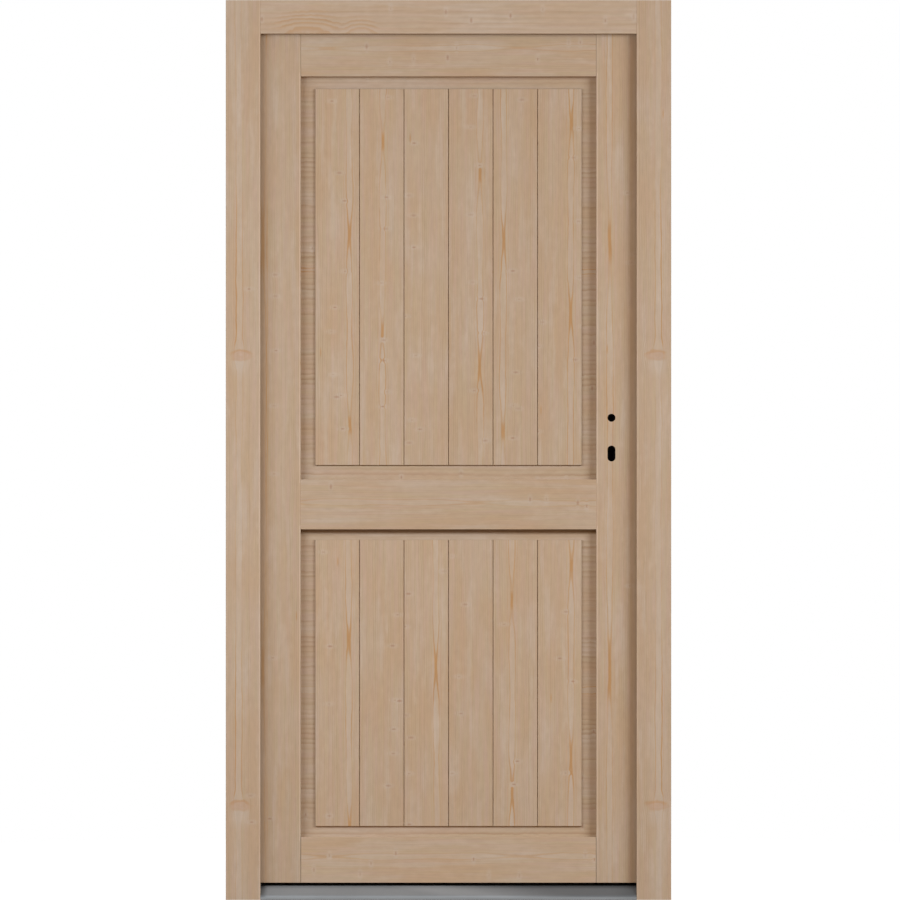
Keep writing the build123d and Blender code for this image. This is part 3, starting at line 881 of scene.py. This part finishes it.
def buildFloor():
    mesh = bpy.data.meshes.new("floor")
    sides, radius = floorLook["sides"], floorLook["radius"]
    points = [(0.0, 0.0, 0.0)]
    for step in range(sides):
        angle = 2 * math.pi * step / sides
        points.append((radius * math.cos(angle), radius * math.sin(angle), 0.0))
    faces = [(0, 1 + step, 1 + (step + 1) % sides) for step in range(sides)]
    mesh.from_pydata(points, [], faces)
    floor = bpy.data.objects.new("floor", mesh)
    middle = (cadLow + cadHigh) / 2
    floor.location = (middle.x, middle.y, cadLow.z - floorLook["drop"])
    bpy.context.scene.collection.objects.link(floor)
    paint = Paint("floorPale")
    seen = seenShare(paint)
    colour = paint.mix(seen, floorLook["bounce"], floorLook["colour"])
    lit = paint.add("ShaderNodeBsdfDiffuse", {}, {"Color": colour})
    glow = paint.add("ShaderNodeEmission", {}, {"Color": white, "Strength": floorLook["glow"]})
    both = paint.add("ShaderNodeMixShader", {}, {0: seen * floorLook["share"], 1: lit, 2: glow})
    paint.add("ShaderNodeOutputMaterial", {}, {"Surface": both})
    mesh.materials.append(paint.material)
    floor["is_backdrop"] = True


worldLook = {"ambient": 0.315, "colour": (1.0, 0.6, 0.27)}  # weak and warm, as off wood


def buildWorld():
    world = bpy.data.worlds.new("studio")
    world.use_nodes = True
    bpy.context.scene.world = world
    paint = Paint("studio", world.node_tree)
    values = {"Color": worldLook["colour"], "Strength": worldLook["ambient"]}
    soft = paint.add("ShaderNodeBackground", {}, values)
    plain = paint.add("ShaderNodeBackground", {}, {"Color": white, "Strength": 1.0})
    both = paint.add("ShaderNodeMixShader", {}, {0: seenShare(paint), 1: soft, 2: plain})
    paint.add("ShaderNodeOutputWorld", {}, {"Surface": both})


# soft lamps in front, left and right, and two more for the inside
lampColour = (0.765, 0.885, 1.0)
lamps = {
    "leftLamp": {"place": (-1.92, -2.29, 1.95), "aim": (0.245, 0.602, -0.76),
                 "size": (2.56, 0.66), "watts": 90.0},
    "rightLamp": {"place": (3.98, -3.03, 2.35), "aim": (-0.4, 0.523, -0.753),
                  "size": (2.32, 1.66), "watts": 201.0},
    "leftBackLamp": {"place": (-2.9, 3.5, 2.3), "aim": (0.427, -0.587, -0.687),
                     "size": (2.8, 1.9), "watts": 200.0},
    "rightBackLamp": {"place": (3.9, 3.5, 2.3), "aim": (-0.427, -0.587, -0.687),
                      "size": (2.8, 1.9), "watts": 200.0},
}


def buildLamps():
    for name, look in lamps.items():
        light = bpy.data.lights.new(name, "AREA")
        light.shape = "RECTANGLE"
        light.size, light.size_y = look["size"]
        light.energy = look["watts"]
        light.color = lampColour
        lamp = bpy.data.objects.new(name, light)
        lamp.location = look["place"]
        lamp.rotation_euler = Vector(look["aim"]).to_track_quat("-Z", "Y").to_euler()
        bpy.context.scene.collection.objects.link(lamp)


# straight elevation from outside: the frame fills the picture's height
cameraLook = {"lens": 300.0, "sensor": 36.0, "aside": 0.0033, "reach": 60.0}


def buildCamera():
    data = bpy.data.cameras.new("camera")
    data.lens = cameraLook["lens"]
    data.sensor_width = cameraLook["sensor"]
    data.clip_end = cameraLook["reach"]
    camera = bpy.data.objects.new("camera", data)
    height = cadHigh.z - cadLow.z
    away = height / 2 / (cameraLook["sensor"] / 2 / cameraLook["lens"])
    middle = (cadLow + cadHigh) / 2
    camera.location = (middle.x + cameraLook["aside"], cadLow.y - away, middle.z)
    camera.rotation_euler = (math.radians(90), 0, 0)
    bpy.context.scene.collection.objects.link(camera)
    bpy.context.scene.camera = camera


buildFloor()
buildWorld()
buildLamps()
buildCamera()
bpy.context.scene.view_settings.view_transform = "Standard"
print("stage, lamps and camera set")

low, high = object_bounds()
